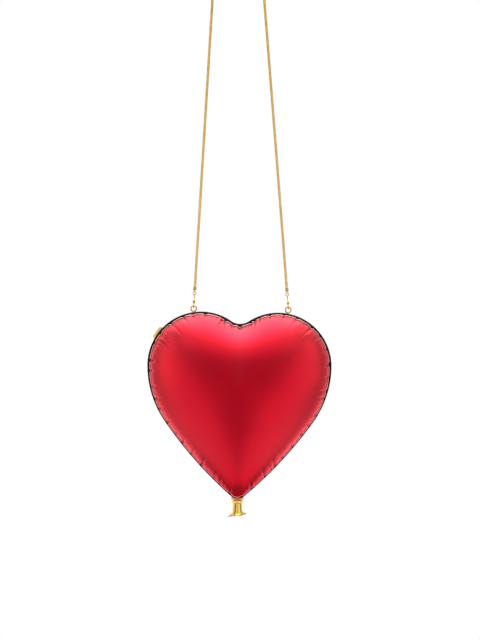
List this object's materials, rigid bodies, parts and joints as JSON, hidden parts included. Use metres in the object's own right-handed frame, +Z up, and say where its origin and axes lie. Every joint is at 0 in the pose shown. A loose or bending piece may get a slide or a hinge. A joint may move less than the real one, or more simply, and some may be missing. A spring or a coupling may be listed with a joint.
{
  "type": "evening bag",
  "caption": "Heart-shaped hard-case evening bag with a puffed foil-look lid and back, chain strap, push clasp, hidden hinge and knotted-balloon tail.",
  "frame": {"origin": "underside of the chain strap's top run, where a hand or hook holds it, level with the middle of the heart", "axes": "+X the bag's right side as seen from the front, +Y from the lid to the back, +Z up"},
  "size_m": [0.165, 0.062, 0.4978],
  "materials": {
    "foil": "moulded hard shell faced with red metallic foil, satin mirror sheen",
    "rim": "dark wine-red lacquered metal, glossy",
    "lining": "dark red fabric on board",
    "gold": "polished gold plate",
    "gold_dark": "satin gold plate",
    "chain": "polished gold snake chain",
    "steel": "bright steel"
  },
  "bodies": {
    "strap": {"chain_strap": "chain", "left_end_cap": "gold", "right_end_cap": "gold", "left_jump_ring": "gold", "right_jump_ring": "gold", "left_swivel": "gold", "right_swivel": "gold"},
    "back_half": {"back_shell": "foil", "back_rim": "rim", "back_lining": "lining", "back_hinge_leaf": "gold_dark", "hinge_pin": "steel", "back_leaf_screws": "steel", "clasp_bezel": "gold_dark", "button_spring": "steel", "left_eyelet": "gold", "right_eyelet": "gold", "knot_collar": "gold", "knot_tail": "gold", "knot_screw": "steel"},
    "lid": {"front_shell": "foil", "front_rim": "rim", "front_lining": "lining", "front_hinge_leaf": "gold_dark", "front_leaf_screws": "steel", "catch_spring": "steel", "catch_rivets": "gold"},
    "button": {"clasp_button": "gold", "button_clip": "steel"},
    "left_clip": {"left_lobster": "gold", "left_gate_pin": "gold_dark", "left_gate_spring": "steel"},
    "right_clip": {"right_lobster": "gold", "right_gate_pin": "gold_dark", "right_gate_spring": "steel"},
    "left_lever": {"left_gate": "gold"},
    "right_lever": {"right_gate": "gold"}
  },
  "joints": [
    {"name": "bag_swing", "type": "hinge", "parent": "strap", "child": "back_half", "pos_m": [0, 0.0012, -0.306], "axis": [1, 0, 0], "range_deg": [-75, 75]},
    {"name": "lid_hinge", "type": "hinge", "parent": "back_half", "child": "lid", "pos_m": [0.05794, 0, -0.41798], "axis": [0.6018, 0, 0.7986], "range_deg": [0, 80], "deforming": ["catch_spring"]},
    {"name": "clasp_press", "type": "slide", "parent": "back_half", "child": "button", "axis": [0.809, 0, -0.5878], "range_m": [0, 0.001], "stiffness_N_per_m": 900, "springref_m": -0.001, "deforming": ["button_spring"]},
    {"name": "left_swivel_turn", "type": "hinge", "parent": "strap", "child": "left_clip", "pos_m": [-0.0418, 0.0012, -0.306], "axis": [0.0465, 0, 0.9989], "range_deg": [-25, 25]},
    {"name": "left_gate_open", "type": "hinge", "parent": "left_clip", "child": "left_lever", "pos_m": [-0.0416, 0.0003, -0.3018], "axis": [0.9989, 0, -0.0465], "range_deg": [0, 28], "stiffness_Nm_per_rad": 0.002, "springref_deg": -28.65, "deforming": ["left_gate_spring"]},
    {"name": "right_swivel_turn", "type": "hinge", "parent": "strap", "child": "right_clip", "pos_m": [0.043, 0.0012, -0.306], "axis": [-0.0926, 0, 0.9957], "range_deg": [-25, 25]},
    {"name": "right_gate_open", "type": "hinge", "parent": "right_clip", "child": "right_lever", "pos_m": [0.04261, 0.0003, -0.30182], "axis": [0.9957, 0, 0.0926], "range_deg": [0, 28], "stiffness_Nm_per_rad": 0.002, "springref_deg": -28.65, "deforming": ["right_gate_spring"]}
  ]
}
